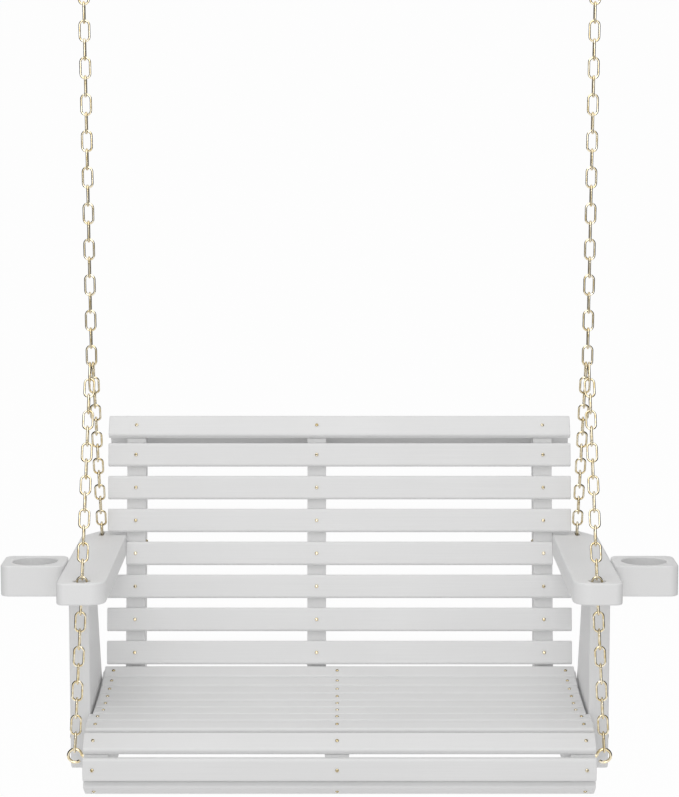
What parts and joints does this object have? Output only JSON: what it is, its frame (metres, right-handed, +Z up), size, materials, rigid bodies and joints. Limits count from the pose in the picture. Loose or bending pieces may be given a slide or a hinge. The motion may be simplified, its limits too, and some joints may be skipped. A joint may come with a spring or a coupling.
{
  "type": "porch swing",
  "caption": "Slatted porch swing bench with a contoured seat, rolled back, flat arms, side cup holders and forked chains that hang it from ceiling hooks.",
  "frame": {"origin": "midway between the two ceiling hooks, on the plane of the ceiling that their studs go into", "axes": "+Z up along the hook studs, +X to the right of someone who faces the seat, +Y from the seat's front to its back"},
  "size_m": [1.395, 0.6927, 1.7617],
  "materials": {
    "white_board": "satin white plastic lumber",
    "gold_steel": "yellow zinc plated steel",
    "dowel": "plain hardwood"
  },
  "bodies": {
    "ceiling_hooks": {"left_ceiling_hook": "gold_steel", "right_ceiling_hook": "gold_steel"},
    "main_chains": {"left_main_chain": "gold_steel", "right_main_chain": "gold_steel"},
    "bench": {"arm_bolts": "gold_steel", "arm_dowels": "dowel", "arm_support_bolts": "gold_steel", "arm_support_nuts": "gold_steel", "back_slat_1": "white_board", "back_slat_2": "white_board", "back_slat_3": "white_board", "back_slat_4": "white_board", "back_slat_5": "white_board", "back_slat_6": "white_board", "back_slat_7": "white_board", "back_slat_8": "white_board", "back_slat_screws": "gold_steel", "centre_back_stile": "white_board", "centre_seat_rib": "white_board", "cup_holder_screws": "gold_steel", "left_arm": "white_board", "left_arm_support": "white_board", "left_back_stile": "white_board", "left_cup_holder": "white_board", "left_front_chain": "gold_steel", "left_front_eye_bolt": "gold_steel", "left_rear_chain": "gold_steel", "left_seat_rib": "white_board", "right_arm": "white_board", "right_arm_support": "white_board", "right_back_stile": "white_board", "right_cup_holder": "white_board", "right_front_chain": "gold_steel", "right_front_eye_bolt": "gold_steel", "right_rear_chain": "gold_steel", "right_seat_rib": "white_board", "seat_slat_1": "white_board", "seat_slat_10": "white_board", "seat_slat_11": "white_board", "seat_slat_2": "white_board", "seat_slat_3": "white_board", "seat_slat_4": "white_board", "seat_slat_5": "white_board", "seat_slat_6": "white_board", "seat_slat_7": "white_board", "seat_slat_8": "white_board", "seat_slat_9": "white_board", "seat_slat_screws": "gold_steel", "stile_bolt_nuts": "gold_steel", "stile_bolts": "gold_steel", "top_rear_slat": "white_board"}
  },
  "joints": [
    {"name": "hook_swing", "type": "hinge", "parent": "ceiling_hooks", "child": "main_chains", "pos_m": [0, 0, -0.056], "axis": [1, 0, 0], "range_deg": [-25, 25]},
    {"name": "bench_rock", "type": "hinge", "parent": "main_chains", "child": "bench", "pos_m": [0, 0, -0.87708], "axis": [1, 0, 0], "range_deg": [-15, 15]}
  ]
}
